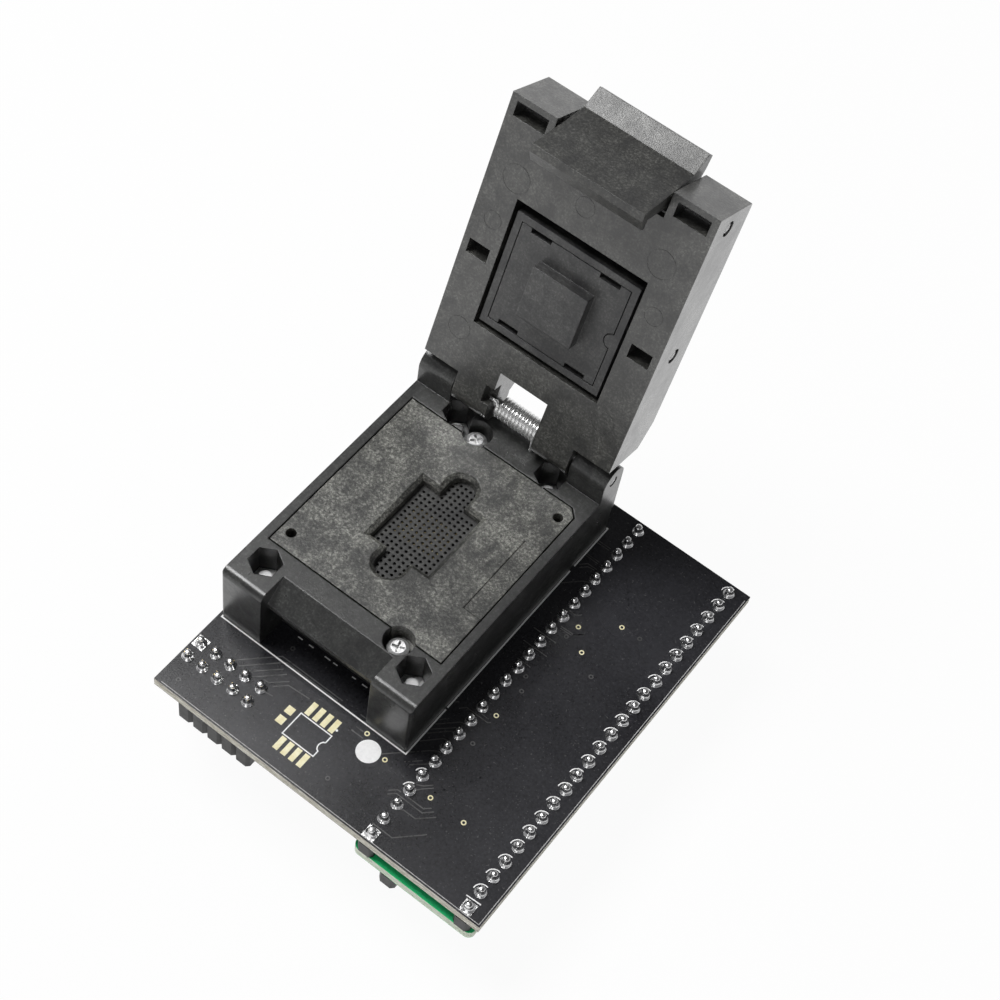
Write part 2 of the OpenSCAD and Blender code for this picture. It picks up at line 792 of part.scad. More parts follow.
module knuckle_side() {
    circle(r = knuckle_r, $fn = 48);
    lid_outline([
        [0, -lid_in], [lid_foot + 1, -lid_in], [lid_foot + 1, lid_out - 1.4],
        [lid_foot + 0.3, lid_out - 1.7], [0.85, 2.55]
    ]);
}

// Bore for a pin that is fixed in the lid's sides, with its two mouths.
module pin_bore() {
    bar_x(pivot_d + 0.04, lid_w + 1);
    for (x = [-1, 1]) translate([x * lid_w / 2, 0, 0]) bar_x(mouth_d, 2 * mouth_in);
}

core_end_x = 11.9;                          // cored slots beside the latch
core_end_w = 4.75;
core_side_x = 12.7;                         // cored holes beside the pusher
core_side_w = 3.2;
core_l = 2.1;
core_d = 3.4;

module lid_shell() {
    color([0.1, 0.1, 0.1]) on_lid() difference() {
        union() {
            across(lid_w) lid_side();
            across(knuckle_w) knuckle_side();
        }
        // window round the hinge spring, and the slot for its leg
        translate([0, -window_u, -lid_in - 1]) translate([-window_w / 2, 0, 0])
            cube([window_w, window_u + knuckle_r + 1, lid_in + lid_out + 2]);
        translate([-window_w / 2 - leg_slot_w, -leg_slot_out, -lid_in - 1])
            cube([leg_slot_w + 1, leg_slot_out - leg_slot_in, leg_slot_d + 1]);
        bar_x(pivot_d + 2 * running, lid_w);
        // pusher pocket and its pin
        translate([0, -well_u, -lid_in - cut]) centred_box(well_w, well_l, well_v + lid_in + cut);
        translate([0, -pusher_u, pusher_v]) pin_bore();
        // latch notch with the web under its foot, pin and spring seats
        translate([-notch_w / 2, -lid_end - 1, -lid_in - 1])
            cube([notch_w, lid_end + 1 - web_u, lid_in + lid_out + 2]);
        translate([-notch_w / 2, -lid_end - 1, -lid_in + web_t])
            cube([notch_w, lid_end + 1 - notch_u, lid_in + lid_out]);
        translate([0, -latch_u, latch_v]) pin_bore();
        for (x = [-1, 1]) translate([x * latch_spring_x, -notch_u - cut, latch_spring_v])
            rotate([-90, 0, 0]) cylinder(d = fine_spring_d + 0.3, h = latch_spring_in + cut);
        // cored slots and holes beside the pins
        for (x = [-1, 1]) {
            translate([x * core_end_x, -lid_end + 1.5, -lid_in - cut])
                centred_box(core_end_w, core_l, core_d);
            translate([x * core_side_x, -well_u, -lid_in - cut])
                centred_box(core_side_w, core_l, core_d);
        }
    }
}

module pusher_pin() {
    color([0.8, 0.8, 0.8]) on_lid() translate([0, -pusher_u, pusher_v]) bar_x(pivot_d, pin_l);
}

module latch_pin() {
    color([0.8, 0.8, 0.8]) on_lid() translate([0, -latch_u, latch_v]) bar_x(pivot_d, pin_l);
}

// ---- pusher ----

frame_w = well_w - 2 * well_gap;
frame_l = well_l - foot_gap - end_gap;
frame_u = well_u - (end_gap - foot_gap) / 2;
pad_w = frame_w - 2 * rim;
pad_l = frame_l - 2 * rim;
pad_t = 1.5;
pad_gap = 0.12;
key_r = 1.05;                               // round key at the pad's right side
key_u = frame_u - 0.3;
clip_x = 5.3;                               // clip slots, to each side of the middle
clip_w = 3.1;
clip_l = 0.7;

module pusher_frame() {
    color([0.11, 0.11, 0.11]) on_lid() difference() {
        translate([0, -frame_u, face_v]) centred_box(frame_w, frame_l, frame_v - face_v);
        difference() {
            translate([0, -frame_u, face_v - cut]) centred_box(pad_w, pad_l, pad_t + cut + 0.05);
            translate([pad_w / 2, -key_u, face_v - 1]) cylinder(r = key_r, h = pad_t + 2);
        }
        translate([0, -pusher_u, pusher_v]) bar_x(pivot_d + 2 * running, frame_w + 1);
    }
}

// The pad's plate with its clip slots, and the raised block that pushes on the chip.
module pusher_pad() {
    w = pad_w - 2 * pad_gap;
    l = pad_l - 2 * pad_gap;
    color([0.13, 0.13, 0.13]) on_lid() {
        difference() {
            translate([0, -frame_u, face_v]) centred_box(w, l, pad_t);
            translate([pad_w / 2, -key_u, face_v - 1])
                cylinder(r = key_r + pad_gap, h = pad_t + 2);
            for (x = [-clip_x, clip_x], y = [-1, 1])
                translate([x, -frame_u + y * (l / 2 - 0.3), face_v - 1])
                    centred_box(clip_w, clip_l, pad_t + 2);
        }
        translate([0, -ram_u, face_v - ram_h]) centred_box(ram_w, ram_l, ram_h + cut);
    }
}

// ---- latch ----

// Side view of the latch: hook, face and thumb tab, then round the pivot.
module latch_side() {
    boss = [for (a = [150 : 20 : 230])
        [latch_u + latch_boss_r * cos(a), latch_v + latch_boss_r * sin(a)]];
    lid_outline(concat([
        [lid_end - 0.8, -hook_drop], [lid_end - 0.2, -1.2], [lid_end + 0.4, 2.9],
        [lid_end + 2.4, 5.5], [lid_end + 1.9, 6.5], [lid_end + 0.1, 6.2],
        [latch_seat_u, latch_spring_v + 1.1], [latch_seat_u, latch_spring_v - 1.1]
    ], boss, [
        [shank_u, -lid_in - 0.4], [shank_u, toe_top],
        [lip_u - toe_grip, toe_top], [lip_u - toe_grip, toe_top - 0.5],
        [shank_u + 0.3, -hook_drop]
    ]));
}

module latch_lever() {
    color([0.1, 0.1, 0.1]) on_lid() difference() {
        across(latch_w) latch_side();
        translate([0, -latch_u, latch_v]) bar_x(pivot_d + 2 * running, latch_w + 1);
    }
}

module latch_spring(side) {
    h = latch_spring_in + latch_seat_u - notch_u;
    color([0.75, 0.75, 0.75]) on_lid()
        translate([side * latch_spring_x, -notch_u + latch_spring_in, latch_spring_v])
            rotate([90, 0, 0]) coil(fine_spring_d, fine_wire_d, h, 5);
}

module latch_spring_left() latch_spring(-1);
module latch_spring_right() latch_spring(1);

main_board();
lower_board();
upper_strip_left();
upper_strip_right();
upper_pins_left();
upper_pins_right();
lower_strip_left();
lower_strip_right();
plug_pins_left();
plug_pins_right();
solder_joints();
header_body();
header_pins();
socket_base();
base_nut_1();
base_nut_2();
base_nut_3();
base_nut_4();
base_bolt_1();
base_bolt_2();
base_bolt_3();
base_bolt_4();
nest_screw_front();
nest_screw_back();
probe_block();
probe_plungers();
nest_spring_1();
nest_spring_2();
nest_spring_3();
nest_spring_4();
nest_plate();
probe_guide();
hinge_pin();
hinge_spring();
lid_shell();
pusher_pin();
pusher_frame();
pusher_pad();
latch_pin();
latch_lever();
latch_spring_left();
latch_spring_right();
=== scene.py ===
import json
import math
import random

import bmesh
import bpy
from mathutils import Matrix, Vector


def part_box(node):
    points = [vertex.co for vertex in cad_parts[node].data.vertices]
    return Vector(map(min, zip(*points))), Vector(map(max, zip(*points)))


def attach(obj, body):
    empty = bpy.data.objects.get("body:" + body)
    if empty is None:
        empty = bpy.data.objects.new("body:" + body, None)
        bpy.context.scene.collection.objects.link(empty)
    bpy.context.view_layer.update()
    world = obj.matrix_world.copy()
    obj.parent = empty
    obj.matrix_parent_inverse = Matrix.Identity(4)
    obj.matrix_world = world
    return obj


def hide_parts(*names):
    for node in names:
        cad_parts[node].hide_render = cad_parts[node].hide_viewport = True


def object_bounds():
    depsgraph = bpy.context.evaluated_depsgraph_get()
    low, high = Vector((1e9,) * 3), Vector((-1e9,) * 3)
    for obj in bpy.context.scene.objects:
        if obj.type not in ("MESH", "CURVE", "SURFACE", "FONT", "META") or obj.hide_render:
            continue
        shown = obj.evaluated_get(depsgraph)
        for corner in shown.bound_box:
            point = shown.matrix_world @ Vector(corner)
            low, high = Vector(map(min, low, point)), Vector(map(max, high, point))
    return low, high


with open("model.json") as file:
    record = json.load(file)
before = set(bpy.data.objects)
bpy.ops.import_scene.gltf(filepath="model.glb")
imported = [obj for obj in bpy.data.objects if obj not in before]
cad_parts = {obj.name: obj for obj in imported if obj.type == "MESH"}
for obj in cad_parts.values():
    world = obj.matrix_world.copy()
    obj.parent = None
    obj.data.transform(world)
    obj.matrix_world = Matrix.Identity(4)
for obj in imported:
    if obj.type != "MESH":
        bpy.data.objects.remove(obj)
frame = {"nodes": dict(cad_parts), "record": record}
cad_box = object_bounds()
MM = 0.001

# ---------------------------------------------------------------- places and sizes, in mm
BOARD_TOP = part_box("main_board")[1].z / MM
NEST_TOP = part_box("nest_plate")[1].z / MM
PIN_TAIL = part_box("upper_pins_left")[1].z / MM
PITCH = 2.54
PINS_IN_ROW = 24
ROW_X = 7.62
FIRST_Y = -30.48
HEADER_AT = (-36.27, -25.25)
HEADER_COLUMNS, HEADER_ROWS = 5, 2
HINGE = Vector((-26.67, 23.22, 22.5))
LID_OPEN = math.radians(107.5)
LID_FACE = -2.7  # the lid's inner face, from the hinge axis
BLACK_CORE = (6.66, 8.12)  # heights between which a board's edge shows its laminate
GREEN_CORE = (2.56, 4.04)
TIP_START = 0.3  # how far a domed end begins inside what it stands out of
BOLT_R, BOLT_TIP_DEPTH = 0.95, 3.4  # the bolts end this far below the nest's top
PIN_R, PIN_TIP, HINGE_PIN_TIP = 0.78, 0.4, 0.22

# ---------------------------------------------------------------- view and light, in metres
CAMERA_AT = (0.045989, -0.117086, 0.238935)
CAMERA_FORWARD = (-0.25674, 0.49228, -0.83171)
CAMERA_RIGHT = (0.79324, 0.59896, 0.10965)
LENS_MM, SENSOR_MM = 72.148, 36
FLOOR_HALF, FLOOR_DROP, FLOOR_WHITE = 3.0, 0.0002, 0.95
SKY = ((0.02, (0.90, 0.90, 0.90)), (0.16, (0.20, 0.20, 0.21)), (0.80, (0.08, 0.08, 0.08)))
AMBIENT = (0.16, 0.16, 0.16)
LAMPS_AIM = (-0.02, 0.0, 0.02)
LAMPS = (  # name, place, width and height, watts
    ("key", (-0.29, -0.01, 0.60), (0.32, 0.26), 3.5),
    ("fill", (0.10, -0.54, 0.24), (0.30, 0.30), 0.45),
    ("back", (-0.10, 0.55, 0.22), (0.40, 0.15), 0.05),
)


def make_camera():
    data = bpy.data.cameras.new("camera")
    data.sensor_width = SENSOR_MM
    data.lens = LENS_MM
    data.clip_start, data.clip_end = 0.01, 20
    cam = bpy.data.objects.new("camera", data)
    forward = Vector(CAMERA_FORWARD).normalized()
    right = Vector(CAMERA_RIGHT)
    right = (right - forward * right.dot(forward)).normalized()
    up = right.cross(forward)
    turn = Matrix((right, up, -forward)).transposed().to_4x4()
    cam.matrix_world = Matrix.Translation(CAMERA_AT) @ turn
    bpy.context.scene.collection.objects.link(cam)
    bpy.context.scene.camera = cam
    bpy.context.scene.view_settings.view_transform = "Standard"


# ---------------------------------------------------------------- node helpers
class Nodes:
    """A node tree under construction: each method adds a node and gives its output."""

    def __init__(self, tree):
        self.tree = tree

    def feed(self, socket, value):
        """Joins a socket to another node's output, or sets its number, vector or colour."""
        if isinstance(value, bpy.types.NodeSocket):
            self.tree.links.new(value, socket)
        elif socket.type == "RGBA":
            socket.default_value = (*value, 1)
        else:
            socket.default_value = value

    def add(self, kind, **inputs):
        node = self.tree.nodes.new("ShaderNode" + kind)
        for name, value in inputs.items():
            self.feed(node.inputs[name.replace("_", " ")], value)
        return node

    def height_of(self, vector):
        return self.add("SeparateXYZ", Vector=vector).outputs["Z"]

    def spread(self, value, low, high, to_low=0.0, to_high=1.0):
        node = self.add("MapRange", Value=value, From_Min=low, From_Max=high,
                        To_Min=to_low, To_Max=to_high)
        return node.outputs["Result"]

    def math(self, kind, a, b):
        node = self.add("Math")
        node.operation = kind
        self.feed(node.inputs[0], a)
        self.feed(node.inputs[1], b)
        return node.outputs["Value"]

    def blend(self, a, b, share):
        """Two values added, of which b has the share given."""
        return self.math("ADD", self.math("MULTIPLY", a, 1 - share),
                         self.math("MULTIPLY", b, share))

    def ramp(self, value, *stops):
        node = self.add("ValToRGB", Fac=value)
        elements = node.color_ramp.elements
        while len(elements) < len(stops):
            elements.new(0.5)
        for k, (at, colour) in enumerate(stops):
            elements[k].position = at
            elements[k].color = (*colour, 1)
        return node.outputs["Color"]

    def mix(self, share, a, b):
        """Colours a and b, of which b has the share given."""
        node = self.add("Mix")
        node.data_type = "RGBA"
        for k, value in ((0, share), (6, a), (7, b)):
            self.feed(node.inputs[k], value)
        return node.outputs[2]


class Mat(Nodes):
    """A Principled material whose textures lie on object coordinates."""

    def __init__(self, name):
        self.material = bpy.data.materials.new(name)
        self.material.use_nodes = True
        super().__init__(self.material.node_tree)
        self.shader = self.tree.nodes["Principled BSDF"]
        self.coords = self.add("TexCoord").outputs["Object"]

    def noise(self, scale, detail=3.0, rough=0.55, distort=0.0, coords=None):
        node = self.add("TexNoise", Vector=coords or self.coords, Scale=scale, Detail=detail,
                        Roughness=rough, Distortion=distort)
        return node.outputs["Fac"]

    def stretched(self, scale=(1, 1, 1), turn=(0, 0, 0), shift=(0, 0, 0)):
        node = self.add("Mapping", Vector=self.coords, Location=shift, Rotation=turn,
                        Scale=scale)
        return node.outputs["Vector"]

    def set(self, **values):
        for name, value in values.items():
            self.feed(self.shader.inputs[name.replace("_", " ")], value)

    def soft_edges(self, radius):
        node = self.add("Bevel", Radius=radius)
        node.samples = 6
        return node.outputs["Normal"]

    def bump(self, height, strength, distance, **below):
        """Bump on the surface as it is, or on the Normal given."""
        node = self.add("Bump", Height=height, Strength=strength, Distance=distance, **below)
        self.set(Normal=node.outputs["Normal"])


def grey(v):
    return (v, v, v)


# ---------------------------------------------------------------- materials
def moulded(name, dark, light, rough, fleck, grain, coat, swirl=0.2, shift=(0, 0, 0)):
    """Glass-filled black plastic: resin swirls, which a shift can move so that lighter patches
    fall where the light is brighter (painted light on the nest), pale flecks that are partly glass
    fibre and partly painted glints, and a fine satin grain.
    """
    m = Mat(name)
    # large swirls; the nest's shift puts the lighter ones on its left and the darker on its right,
    # as painted light
    patch = m.noise(75, detail=2, rough=0.5, distort=2.2, coords=m.stretched(shift=shift))
    cloud = m.noise(260, detail=5, rough=0.62, distort=1.4)
    streak = m.noise(560, detail=4, rough=0.65, distort=0.8,
                     coords=m.stretched((1, 0.4, 0.4), turn=(0.3, 0.2, 0.5)))
    speck = m.noise(3000, detail=2, rough=0.8)
    resin = m.blend(m.blend(cloud, streak, 0.4), patch, swirl)
    # pale flecks: partly glass fibre, partly painted glints of the lamp on the grainy surface
    fibre_and_painted_glint = tuple(min(1, c * 2.6 + 0.05) for c in light)
    pit = tuple(c * 0.35 for c in dark)
    flow = m.spread(resin, 0.43, 0.58, 0.25, 1.0)
    shown = m.math("MULTIPLY", m.spread(speck, 0.51, 0.66, 0.0, fleck), flow)
    colour = m.mix(shown, m.ramp(resin, (0.41, dark), (0.60, light)), fibre_and_painted_glint)
    colour = m.mix(m.spread(speck, 0.47, 0.33, 0.0, fleck), colour, pit)
    m.set(Base_Color=colour, IOR=1.52, Coat_Weight=coat, Coat_IOR=1.5, Coat_Roughness=rough[0])
    m.set(Roughness=m.spread(resin, 0.38, 0.64, rough[1], rough[0]))
    m.bump(m.blend(speck, m.noise(1500), 0.4), 0.5 * grain, 0.00005,
           Normal=m.soft_edges(0.00022))
    return m.material


def laminate(name, mask_dark, mask_light, core_dark, core_light, core):
    """Board material whose cut edges show the pale glass laminate between the masks."""
    m = Mat(name)
    upright = m.math("ABSOLUTE", m.height_of(m.add("NewGeometry").outputs["True Normal"]), 0)
    height = m.height_of(m.coords)
    inside = m.math("MULTIPLY", m.math("GREATER_THAN", height, core[0] * MM),
                    m.math("LESS_THAN", height, core[1] * MM))
    edge = m.math("MULTIPLY", m.math("LESS_THAN", upright, 0.5), inside)
    cloud = m.noise(60, rough=0.5)
    mask = m.ramp(m.blend(cloud, m.noise(2600, detail=2, rough=0.7), 0.5),
                  (0.36, mask_dark), (0.64, mask_light))
    dust = m.spread(m.noise(3600, detail=1, rough=0.5), 0.68, 0.76, 0.0, 0.35)
    mask = m.mix(dust, mask, grey(0.16))
    fibres = m.noise(900, rough=0.7, coords=m.stretched((1, 1, 7)))
    side = m.ramp(fibres, (0.3, core_dark), (0.62, core_light))
    m.set(Base_Color=m.mix(edge, mask, side), IOR=1.5)
    gloss = m.spread(cloud, 0.3, 0.7, 0.22, 0.28)
    m.set(Roughness=m.add("Mix", Factor=edge, A=gloss, B=0.75).outputs["Result"])
    ripple = m.math("MULTIPLY", m.noise(700, detail=2), 0.6)
    m.bump(m.math("ADD", m.noise(3400, detail=2, rough=0.6), ripple), 0.12, 0.00003)
    return m.material


def metal(name, dark, light, rough, bump=0.3, scale=900):
    m = Mat(name)
    cloud = m.noise(scale, detail=4, rough=0.6, distort=0.5)
    m.set(Base_Color=m.ramp(cloud, (0.3, dark), (0.7, light)), Metallic=1.0)
    m.set(Roughness=m.spread(cloud, 0.3, 0.7, *rough))
    m.bump(m.noise(scale * 2.4), bump, 0.00004)
    return m.material


def plain(name, dark, light, rough, scale=800, bump=0.3, metallic=0.0):
    m = Mat(name)
    cloud = m.noise(scale, detail=4, rough=0.6)
    m.set(Base_Color=m.ramp(cloud, (0.3, dark), (0.7, light)), Metallic=metallic)
    m.set(Roughness=m.spread(cloud, 0.3, 0.7, *rough))
    m.bump(m.noise(scale * 3), bump, 0.00003)
    return m.material


def drawn_wire(name, dark, light, rough, metallic):
    """Bright spring wire with fine lines along it."""
    m = Mat(name)
    lines = m.noise(1400, rough=0.6, coords=m.stretched((0.25, 2, 2)))
    m.set(Base_Color=m.ramp(lines, (0.3, dark), (0.7, light)), Metallic=metallic)
    m.set(Roughness=m.spread(lines, 0.3, 0.7, *rough))
    m.bump(lines, 0.04, 0.00002)
    return m.material


# each material's maker and its values; rough is its lowest and highest roughness
LOOKS = {
    "black_board": (laminate, dict(
        mask_dark=(0.010, 0.010, 0.012), mask_light=(0.030, 0.030, 0.035),
        core_dark=(0.34, 0.30, 0.22), core_light=(0.86, 0.84, 0.76), core=BLACK_CORE)),
    "green_board": (laminate, dict(
        mask_dark=(0.030, 0.78, 0.24), mask_light=(0.060, 0.92, 0.34),
        core_dark=(0.55, 0.66, 0.48), core_light=(0.88, 0.92, 0.80), core=GREEN_CORE)),
    "header_plastic": (plain, dict(
        dark=grey(0.012), light=grey(0.03), rough=(0.42, 0.6), scale=900)),
    "tinned_pins": (metal, dict(
        dark=(0.62, 0.61, 0.56), light=(0.9, 0.89, 0.84), rough=(0.18, 0.34))),
    "gold_pins": (metal, dict(
        dark=(0.55, 0.40, 0.16), light=(0.86, 0.69, 0.36), rough=(0.2, 0.36))),
    "solder": (metal, dict(
        dark=grey(0.70), light=grey(0.96), rough=(0.14, 0.34), bump=0.5, scale=1500)),
    "moulded_black": (moulded, dict(
        dark=(0.020, 0.020, 0.020), light=(0.046, 0.047, 0.045),
        rough=(0.26, 0.36), fleck=0.30, grain=1.0, coat=0.4)),
    "lid_black": (moulded, dict(
        dark=(0.024, 0.024, 0.023), light=(0.070, 0.070, 0.064),
        rough=(0.24, 0.38), fleck=0.50, grain=1.8, coat=0.9, swirl=0.35)),
    "latch_black": (moulded, dict(
        dark=(0.026, 0.026, 0.025), light=(0.056, 0.056, 0.051),
        rough=(0.34, 0.48), fleck=0.55, grain=2.0, coat=0.5)),
    "pusher_black": (moulded, dict(
        dark=(0.030, 0.030, 0.031), light=(0.058, 0.058, 0.057),
        rough=(0.34, 0.46), fleck=0.34, grain=1.4, coat=0.3)),
    # the nest's swirls are shifted so that lighter patches fall on its left and darker on its
    # right: painted light
    "nest_black": (moulded, dict(
        dark=(0.022, 0.022, 0.020), light=(0.125, 0.125, 0.112),
        rough=(0.32, 0.44), fleck=0.85, grain=2.0, coat=0.3, swirl=0.45,
        shift=(0.031, 0.012, 0.0))),
    "guide_black": (moulded, dict(
        dark=(0.020, 0.020, 0.020), light=(0.040, 0.040, 0.038),
        rough=(0.42, 0.55), fleck=0.30, grain=0.8, coat=0.0)),
    "probe_block": (plain, dict(
        dark=(0.03, 0.022, 0.01), light=(0.06, 0.045, 0.02), rough=(0.5, 0.7))),
    "probe_gold": (metal, dict(
        dark=(0.7, 0.55, 0.25), light=(0.95, 0.82, 0.5), rough=(0.15, 0.3))),
    "plated_screws": (plain, dict(
        dark=grey(0.50), light=grey(0.96), rough=(0.34, 0.50), scale=1400, bump=0.8,
        metallic=0.8)),
    "zinc_ends": (plain, dict(
        dark=grey(0.74), light=grey(0.98), rough=(0.30, 0.45), scale=1400, bump=0.4)),
    "spring_steel": (drawn_wire, dict(
        dark=grey(0.86), light=(0.98, 0.98, 0.97), rough=(0.24, 0.32), metallic=0.75)),
    "pin_steel": (metal, dict(
        dark=grey(0.6), light=grey(0.8), rough=(0.3, 0.45), bump=0.2)),
    "silk_ink": (plain, dict(
        dark=grey(0.86), light=grey(0.97), rough=(0.5, 0.65), scale=2600)),
    "gold_pads": (plain, dict(
        dark=(0.80, 0.72, 0.40), light=(0.98, 0.93, 0.66), rough=(0.35, 0.5),
        scale=1400)),
    # grey of the painted highlight along the board's edge
    "mask_edge": (plain, dict(
        dark=grey(0.34), light=grey(0.66), rough=(0.5, 0.65), scale=2600)),
    "copper_under_mask": (plain, dict(
        dark=grey(0.045), light=grey(0.085), rough=(0.25, 0.35), scale=700)),
}
MATERIALS = {name: make(name, **values) for name, (make, values) in LOOKS.items()}
# nodes that look finer than their material slot says
FINER = {"lid_shell": "lid_black", "latch_lever": "latch_black", "probe_guide": "guide_black"}


def dress_cad():
    slots = {s["node"]: s["material_slot"] for s in frame["record"]["subparts"]}
    for name, obj in frame["nodes"].items():
        obj.data.materials.clear()
        obj.data.materials.append(MATERIALS[FINER.get(name, slots[name])])


# ---------------------------------------------------------------- mesh helpers, in mm
MITRE_LIMIT = 0.5


def add_piece(name, mesh_maker, material, body="root", smooth=False):
    """A new mesh riding a body, in the material given."""
    mesh = bpy.data.meshes.new(name)
    b = bmesh.new()
    mesh_maker(b)
    bmesh.ops.recalc_face_normals(b, faces=b.faces)
    b.to_mesh(mesh)
    b.free()
    for p in mesh.polygons:
        p.use_smooth = smooth
    obj = bpy.data.objects.new(name, mesh)
    bpy.context.scene.collection.objects.link(obj)
    mesh.materials.append(MATERIALS[material])
    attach(obj, body)
    return obj


def unmoved(p):
    return p


def vertex(b, x, y, z, to_world=unmoved):
    return b.verts.new(to_world(Vector((x, y, z))) * MM)


def skin(b, rows, looped=False):
    """Faces between closed rows of vertices, capped at both ends or joined back to the first."""
    if not looped:
        b.faces.new(list(reversed(rows[0])))
        b.faces.new(rows[-1])
    following = rows[1:] + rows[:1] if looped else rows[1:]
    n = len(rows[0])
    for p, q in zip(rows, following):
        for k in range(n):
            m = (k + 1) % n
            b.faces.new((p[k], p[m], q[m], q[k]))


def disc(x, y, r, sides=32):
    return [(x + r * math.cos(2 * math.pi * k / sides), y + r * math.sin(2 * math.pi * k / sides))
            for k in range(sides)]


def box_outline(x, y, w, l):
    return [(x - w / 2, y - l / 2), (x + w / 2, y - l / 2), (x + w / 2, y + l / 2),
            (x - w / 2, y + l / 2)]


def prism(b, outline, z0, z1):
    """Closed prism over a flat outline."""
    skin(b, [[vertex(b, x, y, z) for x, y in outline] for z in (z0, z1)])


def stroke(b, points, width, z0, z1):
    """A flat line of a given width along points, mitred at its bends up to a limit."""
    pts = [Vector(p) for p in points]
    left, right = [], []
    for i, p in enumerate(pts):
        before = (p - pts[i - 1]).normalized() if i else None
        after = (pts[i + 1] - p).normalized() if i < len(pts) - 1 else None
        run = ((before or after) + (after or before)).normalized()
        side = Vector((-run.y, run.x))
        straight = before or after
        reach = width / 2 / max(MITRE_LIMIT, side.dot(Vector((-straight.y, straight.x))))
        left.append((p.x + side.x * reach, p.y + side.y * reach))
        right.append((p.x - side.x * reach, p.y - side.y * reach))
    prism(b, left + list(reversed(right)), z0, z1)


def ring(b, x, y, r_in, r_out, z0, z1, sides=24):
    """A flat ring."""
    angles = [math.radians(360 * k / sides) for k in range(sides)]
    skin(b, [[vertex(b, x + r * math.cos(a), y + r * math.sin(a), z) for a in angles]
             for r, z in ((r_in, z0), (r_out, z0), (r_out, z1), (r_in, z1))], looped=True)


def arc(b, x, y, r_in, r_out, z0, z1, sides, start, end):
    """Part of a flat ring, between two angles in degrees."""
    angles = [math.radians(start + (end - start) * k / sides) for k in range(sides + 1)]
    outer = [(x + r_out * math.cos(a), y + r_out * math.sin(a)) for a in angles]
    inner = [(x + r_in * math.cos(a), y + r_in * math.sin(a)) for a in angles]
    prism(b, outer + list(reversed(inner)), z0, z1)


def rounded_tip(b, r, low, high, to_world, sides=24):
    """A short round bar with a domed end, along its own z axis."""
    crown = 0.25 * r
    profile = [(r, low), (r, high - crown)]
    profile += [(r * math.cos(a), high - crown * (1 - math.sin(a))) for a in (0.5, 0.9, 1.25)]
    skin(b, [[vertex(b, x, y, h, to_world) for x, y in disc(0, 0, q, sides)]
             for q, h in profile])


# ---------------------------------------------------------------- print on the board, and pale arcs beside the joints
INK = (BOARD_TOP, BOARD_TOP + 0.03)
INK_W, FINE_INK_W, CHIP_INK_W = 0.2, 0.16, 0.17
FRAME_LINES = (
    ((-11.07, 17.6), (-11.07, 25.55), (-11.3, 25.55)),
    ((-41.92, -14.45), (-41.92, -19.28), (-11.07, -19.28), (-11.07, -10.95)),
    ((-11.07, -10.62), (-11.07, 16.6)))
DASH_Y = -15.1
DASHES = ((-32.03, 0.75), (-30.2, 0.75), (-27.42, 0.95), (-26.1, 0.7), (-23.0, 0.6),
          (-21.2, 0.85))
CHIP_OUTLINE = (
    (-19.85, -24.6), (-20.12, -24.75), (-20.3, -25.05), (-20.36, -25.37), (-20.3, -25.7),
    (-20.12, -26.0), (-19.85, -26.14), (-19.85, -27.08), (-24.92, -27.08), (-24.92, -23.38),
    (-19.85, -23.38), (-19.85, -24.6))
PIN_ONE_LINE = ((6.43, -29.35), (8.64, -29.24))
DOTS = ((-19.87, -22.35, 0.17, 32), (-14.95, -22.05, 1.65, 48))  # x, y, radius, sides
ARC = (1.0, 1.15)


def board_print_and_arcs(b):
    """The frame round the socket with its dashes, the chip outline, its dots, and pale arcs on the
    upper left of the joints.
    """
    for path in FRAME_LINES:
        stroke(b, path, INK_W, *INK)
    for x, w in DASHES:
        stroke(b, [(x - w / 2, DASH_Y), (x + w / 2, DASH_Y)], FINE_INK_W, *INK)
    stroke(b, CHIP_OUTLINE, CHIP_INK_W, *INK)
    for dot in DOTS:
        prism(b, disc(*dot), *INK)
    stroke(b, PIN_ONE_LINE, FINE_INK_W, *INK)
    # pale arcs on the upper left of each joint of the right-hand row, and of two in the left row
    for k in range(1, PINS_IN_ROW):
        arc(b, ROW_X, FIRST_Y + k * PITCH, *ARC, *INK, sides=14, start=75, end=185)
    for k in (3, 4):
        arc(b, -ROW_X, FIRST_Y + k * PITCH, *ARC, *INK, sides=10, start=95, end=175)


def painted_edge_highlight(b):
    """Painted highlight: a pale line along the board's front and right edges, where the routed
    edge catches the light.
    """
    low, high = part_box("main_board")
    x0, y0, x1, y1 = low.x / MM, low.y / MM, high.x / MM, high.y / MM
    inset, width, corner = 0.26, 0.09, 1
    for path in ([(x0 + corner, y0 + inset), (x1 - inset, y0 + inset)],
                 [(x1 - inset, y0 + inset), (x1 - inset, y1 - corner)]):
        stroke(b, path, width, BOARD_TOP - 0.01, BOARD_TOP + 0.012)


# ---------------------------------------------------------------- pads, vias and tracks
PAD = (BOARD_TOP, BOARD_TOP + 0.045)
CHIP_PAD, PART_PAD = (0.78, 2.05), (1.12, 1.15)
CHIP_PAD_X, CHIP_PAD_PITCH, CHIP_PAD_ROWS = -24.27, 1.28, (-22.1, -28.35)
PART_PADS = ((-26.25, -24.02), (-26.3, -25.76))
VIA, COVERED_VIA = (0.2, 0.36), (0.17, 0.34)  # inner and outer radius
VIAS = ((-16.64, -20.21), (-12.6, -21.61), (-5.52, -7.43), (-4.92, -22.01), (0.36, -22.0),
        (-5.06, 10.24), (-2.45, 7.37), (-0.54, 14.03))
COVERED_VIAS = ((-31.79, -16.91), (-16.5, -28.21), (-39.96, -29.84), (-6.01, -0.32),
                (-5.12, -2.44), (0.62, 5.24), (-5.43, -12.57), (-5.45, 8.02), (2.31, 14.16))
TRACK = (BOARD_TOP - 0.01, BOARD_TOP + 0.022)
TRACK_W, LONG_TRACK_W = 0.16, 0.15
